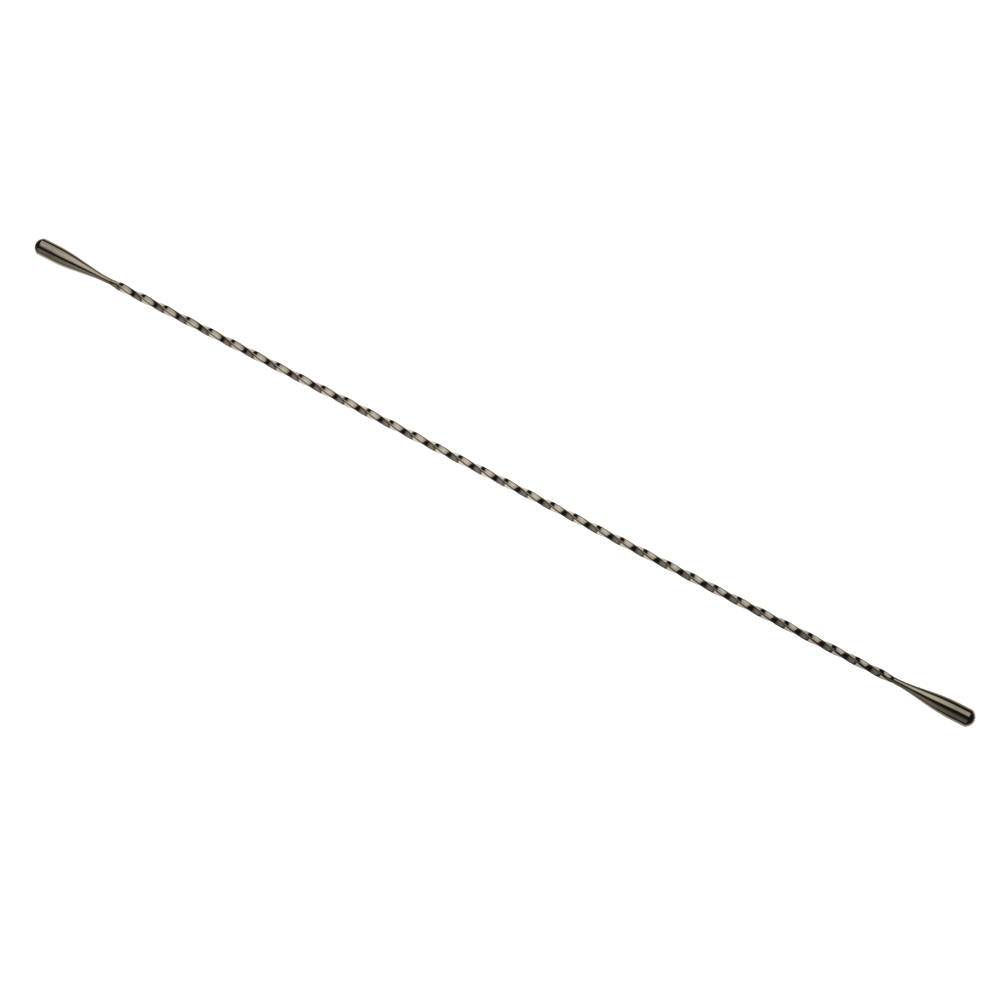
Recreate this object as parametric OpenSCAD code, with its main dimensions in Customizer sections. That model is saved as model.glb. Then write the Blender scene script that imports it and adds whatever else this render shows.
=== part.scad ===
// Double-ended twisted bar stirrer: a square bar twisted along its length,
// with a solid weighted teardrop brazed on at each end.
//
// Frame: millimetres, +Z up. The stirrer lies along X on its two bellies,
// with the origin on the surface it lies on, midway between the two tips.

/* [Overall] */
// Length from tip to tip
overall_len = 400; // [250:5:500]

/* [Twisted shaft] */
// Side of the square bar, across two opposite flats
bar_side = 2.72; // [2.6:0.02:3]
// Radius of the bar's four long rounded corners
corner_r = 0.47; // [0.2:0.01:0.6]
// Quarter turns of right-hand twist between the two shoulders
quarter_turns = 34; // [8:1:40]
// Roll of the flats about the shaft's axis at the left shoulder, in degrees
flat_roll = 9; // [-45:1:45]
// Length of the cone turned on each end of the bar, down to the neck's diameter
cone_len = 4.5; // [2:0.5:8]

/* [Teardrop ends] */
// Diameter of the cylindrical belly, the widest part
belly_d = 7.15; // [6.6:0.05:9]
// Length of the cylindrical belly
belly_len = 5; // [2:0.1:12]
// Bluntness of the nose: its radius on the axis over the belly's radius
nose_ratio = 1.06; // [1.02:0.01:1.6]
// Radius of the rounded edge between the nose and the belly
nose_edge_r = 1.5; // [0.5:0.1:2.5]
// Radius of the convex shoulder behind the belly
shoulder_r = 70; // [20:1:80]
// Half angle of the taper between belly and neck, in degrees
taper_a = 8.1; // [7:0.1:9]
// Radius of the concave sweep from the taper into the neck
sweep_r = 58; // [30:1:70]
// Diameter of the neck where it meets the shaft
neck_d = 2.5; // [2.2:0.05:2.5]

/* [Brazed joints] */
// Diameter of the round spigot turned on each end of the shaft
spigot_d = 1.5; // [1.2:0.05:1.6]
// Length of the spigot
spigot_len = 6; // [3:0.5:10]
// Thickness of the filler metal all round the spigot
filler_gap = 0.05; // [0.03:0.01:0.1]
// Thickness of the filler metal between the shaft's shoulder and the neck
seam_w = 0.12; // [0.05:0.01:0.3]
// Clearance between the spigot's end and the bottom of its socket
socket_relief = 0.4; // [0.2:0.1:1]

/* [Hidden] */

$fn = 96;

gunmetal = [0.42, 0.39, 0.35];
shaft_grey = [0.55, 0.52, 0.46];
filler_gold = [0.80, 0.72, 0.50];

belly_r = belly_d / 2;
nose_r = nose_ratio * belly_r;
neck_r = neck_d / 2;
spigot_r = spigot_d / 2;
socket_r = spigot_r + filler_gap;

// The nose arc and the edge arc touch each other, and the edge arc touches
// the belly: that fixes how long the nose is and the angle at which the two arcs meet.
nose_len = nose_r - sqrt(pow(nose_r - nose_edge_r, 2)
                         - pow(belly_r - nose_edge_r, 2));
meet_a = atan2(nose_r - nose_len, belly_r - nose_edge_r);

// Stations along a teardrop, counted from its tip
x_belly = nose_len + belly_len;
x_taper = x_belly + shoulder_r * sin(taper_a);
r_taper = belly_r - shoulder_r * (1 - cos(taper_a));
r_sweep = neck_r + sweep_r * (1 - cos(taper_a));
x_sweep = x_taper + (r_taper - r_sweep) / tan(taper_a);
x_neck = x_sweep + sweep_r * sin(taper_a);

// The shaft fills what is left between the two necks and their seams
bar_len = overall_len - 2 * (x_neck + seam_w);
twist_deg = 90 * quarter_turns;
slices = 8 * quarter_turns;

// From the bar's axis to the centre of each corner's arc, along x and along y
corner_c = bar_side / 2 - corner_r;
// Each corner arc is drawn with this many chords
corner_chords = 3;

// Just outside the bar's rounded corners
envelope_r = sqrt(2) * corner_c + corner_r + 0.02;

// How far the socket runs into the neck, and how far the spigot fills it
socket_depth = spigot_len - seam_w + socket_relief;
spigot_start = x_neck + seam_w - spigot_len;

// Puts a teardrop's own axis, tip first along +Z, on the left end
module at_left() {
    translate([-overall_len / 2, 0, belly_r]) rotate([0, 90, 0]) children();
}

// The same end turned round to the right
module at_right() {
    mirror([1, 0, 0]) at_left() children();
}

// Points on an arc of the outline, each a radius and a distance from the tip.
// Angles are counted from the outward radius, towards the tip.
function arc_points(centre_r, centre_x, radius, from_a, to_a, steps) =
    [for (i = [1 : steps])
        let (a = from_a + (to_a - from_a) * i / steps)
        [centre_r + radius * cos(a), centre_x - radius * sin(a)]];

// Half outline of a teardrop, from the tip to the neck and back on the axis
module teardrop_outline() {
    polygon(concat(
        [[0, 0]],
        // blunt nose
        arc_points(0, nose_r, nose_r, 90, meet_a, 14),
        // rounded edge, ending at the belly
        arc_points(belly_r - nose_edge_r, nose_len, nose_edge_r, meet_a, 0, 16),
        // belly, then the convex shoulder
        [[belly_r, x_belly]],
        arc_points(belly_r - shoulder_r, x_belly, shoulder_r, 0, -taper_a, 8),
        // straight taper, then the concave sweep into the neck
        [[r_sweep, x_sweep]],
        arc_points(neck_r + sweep_r, x_neck, -sweep_r, -taper_a, 0, 16),
        [[0, x_neck]]
    ));
}

// Solid teardrop with the blind socket for the shaft's spigot
module teardrop() {
    difference() {
        rotate_extrude() teardrop_outline();
        translate([0, 0, x_neck - socket_depth])
            cylinder(r = socket_r, h = socket_depth + 1);
    }
}

// Square section with its four corners rounded
module bar_section() {
    polygon([for (side = [0 : 3]) for (i = [0 : corner_chords])
        let (mid = 45 + 90 * side, a = 90 * side + 90 * i / corner_chords)
        [sqrt(2) * corner_c * cos(mid) + corner_r * cos(a),
         sqrt(2) * corner_c * sin(mid) + corner_r * sin(a)]]);
}

module twisted_shaft() {
    color(shaft_grey)
    translate([-bar_len / 2, 0, belly_r]) rotate([0, 90, 0]) {
        intersection() {
            rotate([0, 0, flat_roll])
                linear_extrude(height = bar_len, twist = -twist_deg, slices = slices,
                               segments = 4 * (corner_chords + 1))
                    bar_section();
            // turned cones that bring the square bar down to the round necks
            rotate_extrude()
                polygon([[0, 0], [neck_r, 0], [envelope_r, cone_len],
                         [envelope_r, bar_len - cone_len],
                         [neck_r, bar_len], [0, bar_len]]);
        }
        translate([0, 0, -spigot_len]) cylinder(r = spigot_r, h = spigot_len + 1);
        translate([0, 0, bar_len - 1]) cylinder(r = spigot_r, h = spigot_len + 1);
    }
}

module left_teardrop() { color(gunmetal) at_left() teardrop(); }
module right_teardrop() { color(gunmetal) at_right() teardrop(); }

// Filler metal: a thin sleeve round the spigot, the pool at the bottom of
// the socket and the seam between the two shoulders
module filler() {
    difference() {
        union() {
            translate([0, 0, x_neck - socket_depth])
                cylinder(r = socket_r, h = socket_depth);
            translate([0, 0, x_neck]) cylinder(r = neck_r, h = seam_w);
        }
        translate([0, 0, spigot_start])
            cylinder(r = spigot_r, h = spigot_len + 1);
    }
}

module left_braze_joint() { color(filler_gold) at_left() filler(); }
module right_braze_joint() { color(filler_gold) at_right() filler(); }

twisted_shaft();
left_teardrop();
right_teardrop();
left_braze_joint();
right_braze_joint();
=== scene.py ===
import math

import bmesh
import bpy
from mathutils import Matrix, Vector


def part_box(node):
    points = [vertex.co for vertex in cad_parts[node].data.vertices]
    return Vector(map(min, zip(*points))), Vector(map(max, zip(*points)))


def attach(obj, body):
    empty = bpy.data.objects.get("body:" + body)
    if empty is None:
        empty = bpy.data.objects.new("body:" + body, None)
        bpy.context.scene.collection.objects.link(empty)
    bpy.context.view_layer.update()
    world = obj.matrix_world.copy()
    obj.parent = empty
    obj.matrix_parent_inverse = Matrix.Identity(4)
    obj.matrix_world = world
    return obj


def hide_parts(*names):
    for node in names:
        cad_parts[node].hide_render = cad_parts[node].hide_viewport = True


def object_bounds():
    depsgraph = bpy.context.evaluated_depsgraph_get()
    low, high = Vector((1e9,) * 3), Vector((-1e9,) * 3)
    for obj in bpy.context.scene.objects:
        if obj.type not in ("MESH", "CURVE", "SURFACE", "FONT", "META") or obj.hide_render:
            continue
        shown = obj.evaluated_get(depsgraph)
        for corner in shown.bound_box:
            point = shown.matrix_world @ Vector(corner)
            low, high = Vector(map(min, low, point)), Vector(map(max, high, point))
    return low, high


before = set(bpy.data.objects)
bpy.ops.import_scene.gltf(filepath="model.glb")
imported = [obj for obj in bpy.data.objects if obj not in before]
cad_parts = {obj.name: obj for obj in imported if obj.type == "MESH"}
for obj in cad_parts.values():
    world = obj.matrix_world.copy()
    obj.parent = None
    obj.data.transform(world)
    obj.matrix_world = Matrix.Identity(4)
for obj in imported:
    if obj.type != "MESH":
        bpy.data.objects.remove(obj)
CAD_LO, CAD_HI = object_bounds()
MM = 0.001

# ---------------------------------------------------------------- dimensions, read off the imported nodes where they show
shaft_lo, shaft_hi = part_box("twisted_shaft")
left_lo, left_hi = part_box("left_teardrop")
braze_lo, braze_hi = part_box("left_braze_joint")

AXIS_Z = (left_lo.z + left_hi.z) / 2            # the stirrer's own axis
HALF_LEN = (CAD_HI.x - CAD_LO.x) / 2
BELLY_R = (left_hi.z - left_lo.z) / 2
SPIGOT_LEN = 6.0 * MM
SPIGOT_R = 0.75 * MM
SOCKET_R = 0.80 * MM
SEAM_W = 0.12 * MM
NECK_R = (braze_hi.z - braze_lo.z) / 2
NECK_X = left_hi.x - CAD_LO.x                    # tip to the neck's end face
BAR_HALF = shaft_hi.x - SPIGOT_LEN               # half the twisted length
BAR_SIDE = 2.72 * MM
ROUND = 0.47 * MM                                # radius of the bar's long corners
CORNER_R = math.sqrt(2) * (BAR_SIDE / 2 - ROUND) + ROUND
CONE_LEN = 4.5 * MM
QUARTERS = 34
ROLL = math.radians(9.0)
NOSE_R, EDGE_R = 1.06 * BELLY_R, 1.5 * MM
SHOULDER_R, SWEEP_R, TAPER_A = 70.0 * MM, 58.0 * MM, math.radians(8.1)
BELLY_LEN = 5.0 * MM


# ---------------------------------------------------------------- mesh helpers
def new_object(name, verts, faces, uvs=None, shade=True):
    mesh = bpy.data.meshes.new(name)
    mesh.from_pydata([tuple(v) for v in verts], [], faces)
    mesh.validate()
    bm = bmesh.new()
    bm.from_mesh(mesh)
    bmesh.ops.recalc_face_normals(bm, faces=bm.faces)
    bm.to_mesh(mesh)
    bm.free()
    if uvs is not None:
        layer = mesh.uv_layers.new(name="UVMap")
        for poly in mesh.polygons:
            for li in poly.loop_indices:
                layer.data[li].uv = uvs[mesh.loops[li].vertex_index]
    if shade:
        mesh.polygons.foreach_set("use_smooth", [True] * len(mesh.polygons))
    obj = bpy.data.objects.new(name, mesh)
    bpy.context.scene.collection.objects.link(obj)
    return obj


def sharpen(obj, angle_deg):
    """Marks edges that turn more than angle_deg as sharp, so that turned shoulders stay crisp."""
    mesh = obj.data
    bm = bmesh.new()
    bm.from_mesh(mesh)
    limit = math.radians(angle_deg)
    for e in bm.edges:
        if len(e.link_faces) == 2 and e.calc_face_angle() > limit:
            e.smooth = False
    bm.to_mesh(mesh)
    bm.free()


def lathe(name, outline, side, segs):
    """A turned piece. outline is a list of (distance from the tip, radius) from the axis back to the axis."""
    verts, faces, rings, uvs = [], [], [], []
    run = 0.0
    prev = outline[0]
    for s, r in outline:
        run += math.hypot(s - prev[0], r - prev[1])
        prev = (s, r)
        x = side * (HALF_LEN - s)
        if r < 1e-9:
            rings.append([len(verts)])
            verts.append((x, 0.0, AXIS_Z))
            uvs.append((0.0, run))
        else:
            ring = []
            for k in range(segs):
                a = 2 * math.pi * k / segs
                ring.append(len(verts))
                verts.append((x, r * math.cos(a), AXIS_Z + r * math.sin(a)))
                uvs.append((k / segs, run))
            rings.append(ring)
    for a, b in zip(rings, rings[1:]):
        for k in range(segs):
            k2 = (k + 1) % segs
            if len(a) == 1 and len(b) == 1:
                continue
            if len(a) == 1:
                faces.append((a[0], b[k], b[k2]))
            elif len(b) == 1:
                faces.append((a[k], b[0], a[k2]))
            else:
                faces.append((a[k], b[k], b[k2], a[k2]))
    return new_object(name, verts, faces)


def arc(cx, cr, radius, a0, a1, steps):
    """Outline points on an arc, angles from the outward radius towards the tip."""
    pts = []
    for i in range(1, steps + 1):
        a = a0 + (a1 - a0) * i / steps
        pts.append((cx - radius * math.sin(a), cr + radius * math.cos(a)))
    return pts


def teardrop_outline():
    nose_len = NOSE_R - math.sqrt((NOSE_R - EDGE_R) ** 2 - (BELLY_R - EDGE_R) ** 2)
    meet = math.atan2(NOSE_R - nose_len, BELLY_R - EDGE_R)
    x_belly = nose_len + BELLY_LEN
    x_taper = x_belly + SHOULDER_R * math.sin(TAPER_A)
    r_taper = BELLY_R - SHOULDER_R * (1 - math.cos(TAPER_A))
    r_sweep = NECK_R + SWEEP_R * (1 - math.cos(TAPER_A))
    x_sweep = x_taper + (r_taper - r_sweep) / math.tan(TAPER_A)
    x_neck = x_sweep + SWEEP_R * math.sin(TAPER_A)
    pts = [(0.0, 0.0)]
    pts += arc(NOSE_R, 0.0, NOSE_R, math.pi / 2, meet, 24)
    pts += arc(nose_len, BELLY_R - EDGE_R, EDGE_R, meet, 0.0, 32)
    n = 10
    pts += [(nose_len + BELLY_LEN * i / n, BELLY_R) for i in range(1, n + 1)]
    pts += arc(x_belly, BELLY_R - SHOULDER_R, SHOULDER_R, 0.0, -TAPER_A, 28)
    n = 12
    pts += [(x_taper + (x_sweep - x_taper) * i / n, r_taper + (r_sweep - r_taper) * i / n) for i in range(1, n + 1)]
    pts += arc(x_neck, NECK_R + SWEEP_R, -SWEEP_R, -TAPER_A, 0.0, 28)
    return pts, x_neck


def make_teardrop(name, side):
    pts, x_neck = teardrop_outline()
    # a hairline rounding at the neck's end face, the face, then the blind socket
    e = 0.04 * MM
    pts = [p for p in pts if p[0] < x_neck - e * 1.2]
    pts += [(x_neck - e, NECK_R), (x_neck - e * 0.3, NECK_R - e * 0.3), (x_neck, NECK_R - e)]
    pts += [(x_neck, SOCKET_R)]
    depth = SPIGOT_LEN - SEAM_W + 0.4 * MM
    pts += [(x_neck - depth, SOCKET_R), (x_neck - depth, 0.0)]
    obj = lathe(name, pts, side, 160)
    sharpen(obj, 40)
    return obj


def make_braze(name, side):
    """The film of filler metal: the seam that shows, the sleeve round the spigot and the pool at the socket's bottom."""
    x0 = NECK_X
    depth = SPIGOT_LEN - SEAM_W + 0.4 * MM
    dip = 0.025 * MM
    pts = [
        (x0 - depth, 0.0), (x0 - depth, SOCKET_R), (x0, SOCKET_R), (x0, NECK_R - 0.02 * MM),
        (x0 + SEAM_W * 0.2, NECK_R - dip), (x0 + SEAM_W * 0.5, NECK_R - dip * 1.4),
        (x0 + SEAM_W * 0.8, NECK_R - dip), (x0 + SEAM_W, NECK_R - 0.01 * MM),
        (x0 + SEAM_W, SPIGOT_R), (x0 + SEAM_W - SPIGOT_LEN, SPIGOT_R), (x0 + SEAM_W - SPIGOT_LEN, 0.0),
    ]
    obj = lathe(name, pts, side, 96)
    sharpen(obj, 40)
    return obj


def bar_section():
    """Square with rounded corners: (angle, radius, distance round the section, weight of the painted dark corner line),
    counter-clockwise.
    """
    h = BAR_SIDE / 2
    rf = ROUND
    pts = []
    flat_t = [-0.97, -0.78, -0.5, -0.18, 0.18, 0.5, 0.78, 0.97]
    for q in range(4):
        base = q * math.pi / 2
        half = h - rf
        for t in flat_t:                            # along the flat
            p = Vector((h, half * t))
            pts.append(Matrix.Rotation(base, 2) @ p)
        for i in range(0, 9):                       # round the corner
            a = math.pi / 2 * i / 8
            p = Vector((half + rf * math.cos(a), half + rf * math.sin(a)))
            pts.append(Matrix.Rotation(base, 2) @ p)
    out, run, prev = [], 0.0, pts[-1]
    for p in pts:
        run += (p - prev).length
        prev = p
        # weight of a painted dark line that stands in for the dark room reflected beside each corner: 0 on the flats, 1
        # beside each corner; the 50.5 degrees is a fit, not a known property of the coating
        off = abs((math.degrees(math.atan2(p.y, p.x)) % 90.0) - 50.5)
        corner = max(0.0, 1.0 - off / 12.5) if p.length > h * 1.02 else 0.0
        out.append((math.atan2(p.y, p.x), p.length, run, corner))
    return out


def make_shaft(name):
    section = bar_section()
    length = 2 * BAR_HALF
    steps = QUARTERS * 22
    stations = [length * i / steps for i in range(steps + 1)]
    extra = [CONE_LEN * i / 40 for i in range(1, 41)]
    stations = sorted(set(stations + extra + [length - e for e in extra]))
    verts, faces, rings, uvs, painted_corner_shade = [], [], [], [], []
    wide = 0.02 * MM
    for s in stations:
        turn = ROLL + math.pi / 2 * QUARTERS * s / length
        near = min(s, length - s)
        clamp = NECK_R + (CORNER_R + wide - NECK_R) * min(1.0, near / CONE_LEN)
        ring = []
        for a, r, run, corner in section:
            rr = min(r, clamp)
            ring.append(len(verts))
            verts.append((-BAR_HALF + s, rr * math.cos(a + turn), AXIS_Z + rr * math.sin(a + turn)))
            uvs.append((run, s))
            # painted dark corner line, faded out along the cones at both ends
            painted_corner_shade.append(corner * min(1.0, near / CONE_LEN))
        rings.append(ring)
    n = len(section)
    for a, b in zip(rings, rings[1:]):
        for k in range(n):
            k2 = (k + 1) % n
            faces.append((a[k], a[k2], b[k2], b[k]))
    # shoulders and the turned spigots that go into the sockets
    for ring, x, out in ((rings[0], -BAR_HALF, -1), (rings[-1], BAR_HALF, 1)):
        angs = [math.atan2(verts[i][2] - AXIS_Z, verts[i][1]) for i in ring]
        inner, chamfer, far = [], [], []
        for a in angs:
            inner.append(len(verts)); verts.append((x, SPIGOT_R * math.cos(a), AXIS_Z + SPIGOT_R * math.sin(a))); uvs.append((0, 0))
        for a in angs:
            chamfer.append(len(verts)); verts.append((x + out * (SPIGOT_LEN - 0.1 * MM), SPIGOT_R * math.cos(a), AXIS_Z + SPIGOT_R * math.sin(a))); uvs.append((0, 0))
        for a in angs:
            far.append(len(verts)); verts.append((x + out * SPIGOT_LEN, (SPIGOT_R - 0.1 * MM) * math.cos(a), AXIS_Z + (SPIGOT_R - 0.1 * MM) * math.sin(a))); uvs.append((0, 0))
        centre = len(verts); verts.append((x + out * SPIGOT_LEN, 0.0, AXIS_Z)); uvs.append((0, 0))
        for r0, r1 in ((ring, inner), (inner, chamfer), (chamfer, far)):
            for k in range(n):
                k2 = (k + 1) % n
                faces.append((r0[k], r0[k2], r1[k2], r1[k]))
        for k in range(n):
            faces.append((far[k], far[(k + 1) % n], centre))
    obj = new_object(name, verts, faces, uvs)
    edge = obj.data.attributes.new("corner", "FLOAT", "POINT")
    edge.data.foreach_set("value", painted_corner_shade + [0.0] * (len(verts) - len(painted_corner_shade)))
    sharpen(obj, 35)
    return obj


# ---------------------------------------------------------------- materials
def nodes_of(mat):
    mat.use_nodes = True
    nt = mat.node_tree
    nt.nodes.clear()
    out = nt.nodes.new("ShaderNodeOutputMaterial")
    bsdf = nt.nodes.new("ShaderNodeBsdfPrincipled")
    nt.links.new(bsdf.outputs[0], out.inputs[0])
    return nt, bsdf


def math_node(nt, op, a, b=None, c=None):
    node = nt.nodes.new("ShaderNodeMath")
    node.operation = op
    for i, v in enumerate((a, b, c)):
        if v is None:
            continue
        if isinstance(v, (int, float)):
            node.inputs[i].default_value = v
        else:
            nt.links.new(v, node.inputs[i])
    return node.outputs[0]


def noise(nt, vector, scale, detail=2.0, distortion=0.0):
    node = nt.nodes.new("ShaderNodeTexNoise")
    node.inputs["Scale"].default_value = 1.0
    node.inputs["Detail"].default_value = detail
    node.inputs["Distortion"].default_value = distortion
    mapping = nt.nodes.new("ShaderNodeMapping")
    mapping.inputs["Scale"].default_value = scale
    nt.links.new(vector, mapping.inputs["Vector"])
    nt.links.new(mapping.outputs[0], node.inputs["Vector"])
    return node.outputs["Fac"]


def span(nt, value, lo, hi, to_lo, to_hi):
    node = nt.nodes.new("ShaderNodeMapRange")
    for key, v in (("From Min", lo), ("From Max", hi), ("To Min", to_lo), ("To Max", to_hi)):
        node.inputs[key].default_value = v
    nt.links.new(value, node.inputs["Value"])
    return node.outputs[0]


def gunmetal(name, colour, grain, rough=(0.035, 0.07), bump=0.012, corner_shade_level=1.0):
    """Polished steel under a thin warm grey coating: cloudiness in the coating, fine working lines,
    a few hairline scratches and, on the bar, a painted dark line beside each of the four corners that stands in for the
    dark room reflected there, guessed."""
    mat = bpy.data.materials.new(name)
    nt, bsdf = nodes_of(mat)
    N, L = nt.nodes, nt.links
    bsdf.inputs["Metallic"].default_value = 1.0
    tex = N.new("ShaderNodeTexCoord")
    place = tex.outputs["Object"]
    cloud = noise(nt, place, (260.0, 260.0, 260.0), 3.0)
    if grain == "turned":
        lines = noise(nt, place, (9000.0, 40.0, 40.0))
    else:
        lines = noise(nt, tex.outputs["UV"], (9000.0, 60.0, 1.0))
    # hairlines: thin level sets of a stretched noise, broken up by a coarse one
    field = noise(nt, place, (120.0, 900.0, 900.0), 0.0, 1.5)
    hair = math_node(nt, "SUBTRACT", 1.0, math_node(nt, "MULTIPLY", math_node(nt, "ABSOLUTE", math_node(nt, "SUBTRACT", field, 0.5)), 160.0))
    hair = math_node(nt, "MAXIMUM", hair, 0.0)
    gaps = span(nt, noise(nt, place, (210.0, 420.0, 420.0), 1.0), 0.52, 0.60, 0.0, 1.0)
    scratch = math_node(nt, "MULTIPLY", hair, gaps)
    # colour
    ramp = N.new("ShaderNodeValToRGB")
    c = colour
    ramp.color_ramp.elements[0].position = 0.3
    ramp.color_ramp.elements[1].position = 0.7
    ramp.color_ramp.elements[0].color = (c[0] * 0.94, c[1] * 0.94, c[2] * 0.93, 1)
    ramp.color_ramp.elements[1].color = (c[0] * 1.05, c[1] * 1.05, c[2] * 1.06, 1)
    L.new(cloud, ramp.inputs[0])
    tone = ramp.outputs[0]
    # painted shade: darkens the base colour beside the bar's corners, where the dark room is reflected
    if corner_shade_level != 1.0:
        corner = N.new("ShaderNodeAttribute")
        corner.attribute_name = "corner"
        shade = span(nt, corner.outputs["Fac"], 0.15, 0.85, 1.0, corner_shade_level)
        mul = N.new("ShaderNodeMix")
        mul.data_type = "RGBA"
        mul.blend_type = "MULTIPLY"
        mul.inputs["Factor"].default_value = 1.0
        L.new(tone, mul.inputs["A"])
        grey = N.new("ShaderNodeCombineColor")
        for i in range(3):
            L.new(shade, grey.inputs[i])
        L.new(grey.outputs[0], mul.inputs["B"])
        tone = mul.outputs["Result"]
    L.new(tone, bsdf.inputs["Base Color"])
    # gloss
    mixed = math_node(nt, "ADD", math_node(nt, "MULTIPLY", cloud, 0.5), math_node(nt, "MULTIPLY", lines, 0.5))
    gloss = span(nt, mixed, 0.3, 0.7, rough[0], rough[1])
    gloss = math_node(nt, "MULTIPLY_ADD", scratch, 0.12, gloss)
    L.new(gloss, bsdf.inputs["Roughness"])
    # relief
    b = N.new("ShaderNodeBump")
    b.inputs["Strength"].default_value = bump
    b.inputs["Distance"].default_value = 0.00002
    L.new(math_node(nt, "MULTIPLY_ADD", scratch, -0.6, lines), b.inputs["Height"])
    L.new(b.outputs[0], bsdf.inputs["Normal"])
    return mat


STEEL = (0.36, 0.316, 0.250)
BAR_STEEL = (0.41, 0.363, 0.298)                  # a little lighter on the bar: a fit, cause unknown
mat_tear = gunmetal("teardrop_gunmetal", STEEL, "turned")
mat_shaft = gunmetal("shaft_gunmetal", BAR_STEEL, "drawn", corner_shade_level=0.08)
mat_braze = gunmetal("braze_filler", (0.20, 0.17, 0.13), "turned", rough=(0.2, 0.35), bump=0.1)

# ---------------------------------------------------------------- the pieces
for node, side in (("left_teardrop", -1), ("right_teardrop", 1)):
    piece = make_teardrop(node + "_turned", side)
    piece.data.materials.append(mat_tear)
    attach(piece, "root"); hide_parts(node)
for node, side in (("left_braze_joint", -1), ("right_braze_joint", 1)):
    piece = make_braze(node + "_film", side)
    piece.data.materials.append(mat_braze)
    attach(piece, "root"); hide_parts(node)
shaft = make_shaft("twisted_shaft_bar")
shaft.data.materials.append(mat_shaft)
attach(shaft, "root"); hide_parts("twisted_shaft")

# ---------------------------------------------------------------- camera
# looking almost straight down; the last turn is about the stirrer's own axis, which leaves its outline alone
PHI, ELEV, DIST, FOCAL = math.radians(27.714), math.radians(76.0), 1.0442, 2768.4
OVER = Matrix.Rotation(math.radians(-7.8), 3, "X")
BACK = OVER @ Vector((math.sin(PHI) * math.cos(ELEV), -math.cos(PHI) * math.cos(ELEV), math.sin(ELEV)))
RIGHT = OVER @ Vector((math.cos(PHI), math.sin(PHI), 0.0))
UP = OVER @ Vector((-math.sin(PHI) * math.sin(ELEV), math.cos(PHI) * math.sin(ELEV), math.cos(ELEV)))
TARGET = Vector((0.0, 0.0, AXIS_Z)) + RIGHT * 0.00188 + UP * -0.00853

cam_data = bpy.data.cameras.new("camera")
cam_data.sensor_width = 36.0
cam_data.lens = FOCAL * 36.0 / 1000.0
cam_data.clip_start, cam_data.clip_end = 0.05, 60.0
cam = bpy.data.objects.new("camera", cam_data)
bpy.context.scene.collection.objects.link(cam)
cam.location = TARGET + BACK * DIST
cam.rotation_mode = "QUATERNION"
cam.rotation_quaternion = Matrix((RIGHT, UP, BACK)).transposed().to_quaternion()
bpy.context.scene.camera = cam

# ---------------------------------------------------------------- studio
def plane(name, corners, mat):
    mesh = bpy.data.meshes.new(name)
    mesh.from_pydata([tuple(c) for c in corners], [], [tuple(range(len(corners)))])
    obj = bpy.data.objects.new(name, mesh)
    bpy.context.scene.collection.objects.link(obj)
    mesh.materials.append(mat)
    return obj


ROOM = 0.022                                     # what is left of the light in the dark parts of the studio


def coverage(nt, x, y, edges):
    """Product of soft edges (a, b, c, w): zero where a*x + b*y + c is under -w, one over +w."""
    total = None
    for a, b, c, w in edges:
        d = math_node(nt, "ADD", math_node(nt, "MULTIPLY", x, a), math_node(nt, "MULTIPLY_ADD", y, b, c))
        ramp = nt.nodes.new("ShaderNodeMapRange")
        ramp.interpolation_type = "SMOOTHSTEP"
        ramp.inputs["From Min"].default_value = -w
        ramp.inputs["From Max"].default_value = w
        nt.links.new(d, ramp.inputs["Value"])
        total = ramp.outputs[0] if total is None else math_node(nt, "MULTIPLY", total, ramp.outputs[0])
    return total


def bell(nt, x, y, hx, hy, wx, wy):
    dx = math_node(nt, "MULTIPLY", math_node(nt, "SUBTRACT", x, hx), 1 / wx)
    dy = math_node(nt, "MULTIPLY", math_node(nt, "SUBTRACT", y, hy), 1 / wy)
    d2 = math_node(nt, "ADD", math_node(nt, "MULTIPLY", dx, dx), math_node(nt, "MULTIPLY", dy, dy))
    return math_node(nt, "EXPONENT", math_node(nt, "MULTIPLY", d2, -1.0))


def emitter(name, colour):
    mat = bpy.data.materials.new(name)
    mat.use_nodes = True
    nt = mat.node_tree
    nt.nodes.clear()
    out = nt.nodes.new("ShaderNodeOutputMaterial")
    em = nt.nodes.new("ShaderNodeEmission")
    em.inputs["Color"].default_value = (*colour, 1)
    uv = nt.nodes.new("ShaderNodeUVMap")
    sep = nt.nodes.new("ShaderNodeSeparateXYZ")
    nt.links.new(uv.outputs[0], sep.inputs[0])
    return mat, nt, out, em, sep.outputs[0], sep.outputs[1]


def soft_light(name, colour, edges, level, hot, turn=0.0):
    """A panel that glows evenly at level, with a brighter oval, and fades out across its edges.
    hot is the oval's centre, its half widths and how much it adds; turn leans the oval over."""
    mat, nt, out, em, x, y = emitter(name, colour)
    c, s = math.cos(turn), math.sin(turn)
    u = math_node(nt, "ADD", math_node(nt, "MULTIPLY", x, c), math_node(nt, "MULTIPLY", y, s))
    w = math_node(nt, "SUBTRACT", math_node(nt, "MULTIPLY", y, c), math_node(nt, "MULTIPLY", x, s))
    hu, hw = c * hot[0] + s * hot[1], c * hot[1] - s * hot[0]
    glow = math_node(nt, "MULTIPLY_ADD", bell(nt, u, w, hu, hw, *hot[2:4]), hot[4], level)
    nt.links.new(math_node(nt, "MULTIPLY_ADD", coverage(nt, x, y, edges), glow, ROOM), em.inputs["Strength"])
    nt.links.new(em.outputs[0], out.inputs[0])
    return mat


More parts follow.
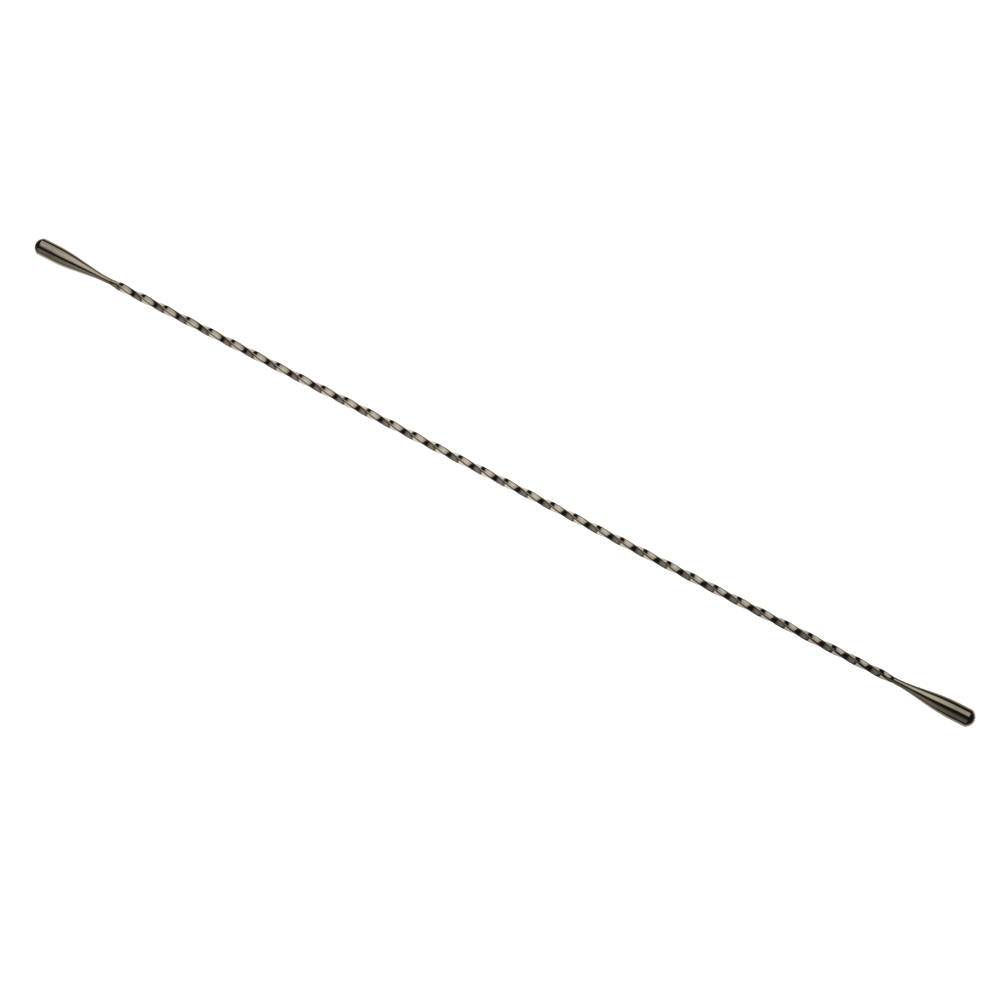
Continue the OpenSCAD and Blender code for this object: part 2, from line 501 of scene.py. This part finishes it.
def floor_mat():
    """White paper to the camera and to diffuse light. To glossy rays it glows instead with a painted reflection map: a
    lit strip close round the stirrer, then dark floor.
    """
    mat, nt, out, em, x, y = emitter("floor_white", (1.0, 0.985, 0.96))
    fall = nt.nodes.new("ShaderNodeMapRange")
    fall.inputs["From Min"].default_value, fall.inputs["From Max"].default_value = -0.15, 0.17
    fall.inputs["To Min"].default_value, fall.inputs["To Max"].default_value = 1.15, 0.80
    nt.links.new(x, fall.inputs["Value"])
    # under the bellies the light on the paper builds up gently, beside the thin shaft it is even
    wide = coverage(nt, x, y, [(0, 1, 0.0270, 0.002), (0, -1, 0.0300, 0.003)])
    close = coverage(nt, x, y, [(0, 1, 0.0140, 0.007), (0, -1, 0.0140, 0.007)])
    shaft = coverage(nt, x, y, [(0, 1, 0.0270, 0.002), (0, -1, 0.0200, 0.002), (1, 0, 0.168, 0.008), (-1, 0, 0.168, 0.008)])
    ends = coverage(nt, x, y, [(1, 0, HALF_LEN + 0.010, 0.007), (-1, 0, HALF_LEN + 0.014, 0.009)])
    belly = math_node(nt, "MULTIPLY_ADD", close, 0.68, math_node(nt, "MULTIPLY", wide, 0.32))
    shaft = math_node(nt, "MULTIPLY", shaft, math_node(nt, "MULTIPLY_ADD", bell(nt, x, y, 0.005, 0.0, 0.085, 1.0), 0.62, 1.0))
    belly = math_node(nt, "MULTIPLY", belly, span(nt, x, -0.17, 0.17, 1.17, 0.92))
    strip = math_node(nt, "MULTIPLY", math_node(nt, "MAXIMUM", belly, shaft), ends)
    # painted: a dimmer band on the near side, seen only in the metal
    near = coverage(nt, x, y, [(0, -1, -0.0270, 0.002), (-1, 0, 0.12, 0.05)])
    lit = math_node(nt, "MULTIPLY_ADD", strip, fall.outputs[0], ROOM)
    nt.links.new(math_node(nt, "MULTIPLY_ADD", near, 0.25, lit), em.inputs["Strength"])
    paper = nt.nodes.new("ShaderNodeBsdfDiffuse")
    paper.inputs["Color"].default_value = (0.9, 0.9, 0.9, 1)
    path = nt.nodes.new("ShaderNodeLightPath")
    mix = nt.nodes.new("ShaderNodeMixShader")
    nt.links.new(path.outputs["Is Glossy Ray"], mix.inputs[0])
    nt.links.new(paper.outputs[0], mix.inputs[1])
    nt.links.new(em.outputs[0], mix.inputs[2])
    nt.links.new(mix.outputs[0], out.inputs[0])
    return mat


FLOOR = [(-6, -6), (6, -6), (6, 6), (-6, 6)]
floor = plane("floor", [(x, y, 0) for x, y in FLOOR], floor_mat())
floor_uv = floor.data.uv_layers.new(name="UVMap")
for i, p in enumerate(FLOOR):
    floor_uv.data[i].uv = p


def panel_point(x, y, h):
    """A point x right and y up of the picture's centre, h towards the camera."""
    return TARGET + RIGHT * x + UP * y + BACK * h


def panel(name, corners, height, mat):
    """A flat light; corners are (x, y), height gives h at each y."""
    obj = plane(name, [panel_point(x, y, height(y)) for x, y in corners], mat)
    layer = obj.data.uv_layers.new(name="UVMap")
    for i, (x, y) in enumerate(corners):
        layer.data[i].uv = (x, y)
    obj.visible_camera = False
    obj.visible_diffuse = False
    obj.visible_shadow = False
    return obj


# a large soft box leaning over the far side, and a dim reflector leaning over the near side; dark room between
panel("softbox", [(-0.7, 0.04), (1.1, 0.04), (1.1, 0.95), (-0.7, 0.95)], lambda y: 0.69 - 0.75 * (y - 0.1),
      soft_light("softbox_light", (1.0, 0.985, 0.965),
                 [(1, 0, 0.385, 0.13), (-1, 0, 0.68, 0.12), (-1, -1.7, 1.50, 0.22), (-1.6, 1, 0.345, 0.06),
                  (0, 1, -0.130, 0.055), (0, -1, 0.88, 0.06)],
                 0.70, (0.05, 0.41, 0.27, 0.20, 0.64), math.radians(29.0)))
panel("reflector", [(-1.7, -0.1), (0.3, -0.1), (0.3, -0.95), (-1.7, -0.95)], lambda y: 0.69 + 0.75 * (y + 0.1),
      soft_light("reflector_light", (1.0, 0.985, 0.935),
                 [(-0.225, -1, -0.2950, 0.06), (-1, 0, 0.13, 0.05), (1, 0, 1.5, 0.1), (-0.5, 1, 0.66, 0.05)],
                 0.14, (-0.52, -0.52, 0.36, 0.30, 0.32)))


# soft top light for the floor; the metal doesn't see it
area = bpy.data.lights.new("overhead", "AREA")
area.shape = "DISK"
area.size = 3.0
area.energy = 60.0
area.use_shadow = False
lamp = bpy.data.objects.new("overhead", area)
bpy.context.scene.collection.objects.link(lamp)
lamp.location = (0, 0, 2.2)
lamp.visible_glossy = False
lamp.visible_camera = False

world = bpy.data.worlds.new("studio")
bpy.context.scene.world = world
world.use_nodes = True
nt = world.node_tree
nt.nodes.clear()
wout = nt.nodes.new("ShaderNodeOutputWorld")
room = nt.nodes.new("ShaderNodeBackground"); room.inputs[0].default_value = (1, 1, 1, 1); room.inputs[1].default_value = 1.0
dark = nt.nodes.new("ShaderNodeBackground"); dark.inputs[0].default_value = (1, 0.95, 0.9, 1); dark.inputs[1].default_value = ROOM
path = nt.nodes.new("ShaderNodeLightPath")
mixw = nt.nodes.new("ShaderNodeMixShader")
nt.links.new(path.outputs["Is Glossy Ray"], mixw.inputs[0])
nt.links.new(room.outputs[0], mixw.inputs[1])
nt.links.new(dark.outputs[0], mixw.inputs[2])
nt.links.new(mixw.outputs[0], wout.inputs[0])

bpy.context.scene.view_settings.view_transform = "Standard"
bpy.context.scene.view_settings.look = "None"
